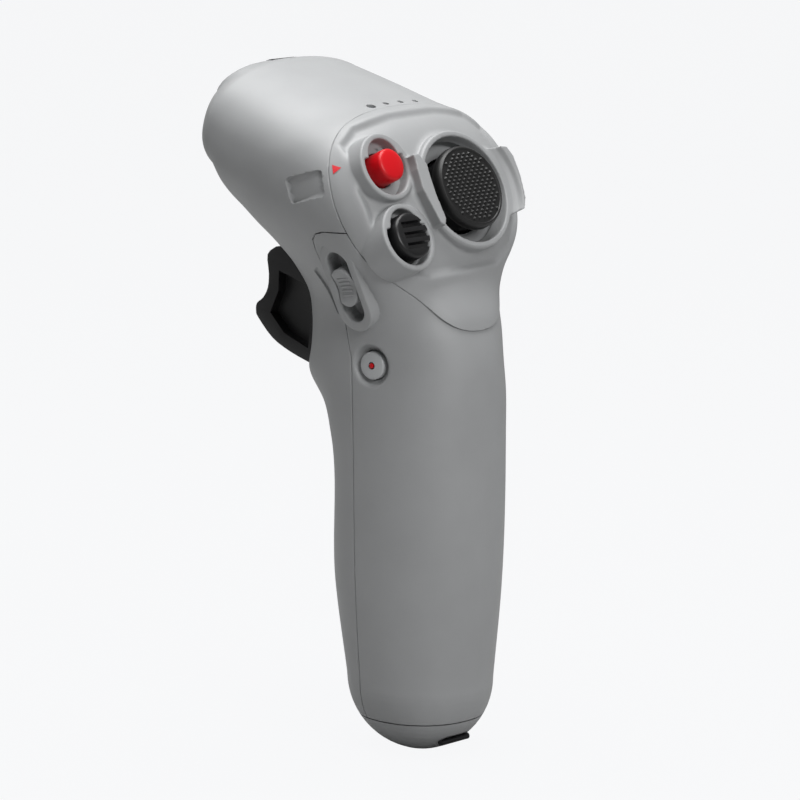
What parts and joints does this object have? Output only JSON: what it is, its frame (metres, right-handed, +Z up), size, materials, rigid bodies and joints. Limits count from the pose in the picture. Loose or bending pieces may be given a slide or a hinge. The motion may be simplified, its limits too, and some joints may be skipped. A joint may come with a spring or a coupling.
{
  "type": "radio transmitter controller",
  "caption": "One-hand motion controller for a drone: a pistol grip with a pull trigger, thumb stick, face buttons, tilt slider and record button.",
  "frame": {"origin": "middle of the flat at the bottom end of the grip", "axes": "+Z up the grip, +Y towards the nose and the trigger, +X to the right of the hand that holds it"},
  "size_m": [0.0618, 0.0733, 0.1645],
  "materials": {
    "grey_plastic": "fine satin grain",
    "black_plastic": "satin",
    "red_plastic": "satin",
    "stick_rubber": "knurled, matte",
    "steel": "plain",
    "circuit_board": "solder mask",
    "battery_wrap": "shrink wrap",
    "clear_plastic": "frosted",
    "pale_plastic": "satin"
  },
  "bodies": {
    "base": {"antenna_board": "circuit_board", "back_cover": "grey_plastic", "battery_cell": "battery_wrap", "board_screw_1": "steel", "board_screw_2": "steel", "board_screw_3": "steel", "board_screw_4": "steel", "bottom_cap": "grey_plastic", "charge_connector": "steel", "chassis": "black_plastic", "chassis_screw_1": "steel", "chassis_screw_2": "steel", "chassis_screw_3": "steel", "chassis_screw_4": "steel", "control_board": "circuit_board", "cord_bar": "steel", "dial_axle": "steel", "face_plate": "grey_plastic", "front_shell": "grey_plastic", "joystick_housing": "steel", "light_guide": "clear_plastic", "lock_switch": "black_plastic", "main_board": "circuit_board", "main_screw_1": "steel", "main_screw_2": "steel", "mode_switch": "black_plastic", "power_switch": "circuit_board", "radio_module": "steel", "record_switch": "circuit_board", "slider_sensor": "black_plastic", "trigger_pin": "steel", "trigger_sensor": "circuit_board", "trigger_spring": "steel", "usb_port": "steel", "vibration_motor": "steel"},
    "lock": {"lock_button": "red_plastic"},
    "mode": {"mode_button": "black_plastic"},
    "yoke": {"joystick_yoke": "black_plastic"},
    "stick": {"joystick_shaft": "steel", "joystick_dome": "black_plastic", "joystick_cap": "stick_rubber"},
    "slider": {"tilt_slider": "grey_plastic"},
    "record": {"record_button": "pale_plastic", "record_dot": "red_plastic"},
    "power": {"power_button": "grey_plastic"},
    "trigger": {"trigger": "black_plastic", "trigger_magnet": "steel"},
    "dial": {"function_dial": "black_plastic"}
  },
  "joints": [
    {"name": "lock_press", "type": "slide", "parent": "base", "child": "lock", "axis": [0, 0.9063, -0.4226], "range_m": [0, 0.0006], "stiffness_N_per_m": 1500},
    {"name": "mode_press", "type": "slide", "parent": "base", "child": "mode", "axis": [0, 0.9063, -0.4226], "range_m": [0, 0.0006], "stiffness_N_per_m": 1500},
    {"name": "stick_fore_aft", "type": "hinge", "parent": "base", "child": "yoke", "pos_m": [0.0043, -0.0043, 0.13314], "axis": [1, 0, 0], "range_deg": [-14, 14], "stiffness_Nm_per_rad": 0.06},
    {"name": "stick_side", "type": "hinge", "parent": "yoke", "child": "stick", "pos_m": [0.0043, -0.0043, 0.13314], "axis": [0, 0.4226, 0.9063], "range_deg": [-14, 14], "stiffness_Nm_per_rad": 0.06},
    {"name": "tilt_slide", "type": "slide", "parent": "base", "child": "slider", "axis": [-0.2996, 0.1698, 0.9388], "range_m": [-0.003, 0.003], "stiffness_N_per_m": 400},
    {"name": "record_press", "type": "slide", "parent": "base", "child": "record", "axis": [0.9925, 0.1219, 0], "range_m": [0, 0.0005], "stiffness_N_per_m": 1500},
    {"name": "power_press", "type": "slide", "parent": "base", "child": "power", "axis": [-0.9925, 0.1219, 0], "range_m": [0, 0.0005], "stiffness_N_per_m": 1500},
    {"name": "trigger_pull", "type": "hinge", "parent": "base", "child": "trigger", "pos_m": [0, 0.031, 0.117], "axis": [-1, 0, 0], "range_deg": [-5, 15], "stiffness_Nm_per_rad": 0.15, "deforming": ["trigger_spring"]},
    {"name": "dial_turn", "type": "hinge", "parent": "base", "child": "dial", "pos_m": [0, 0.04372, 0.15762], "axis": [1, 0, 0], "continuous": true}
  ]
}
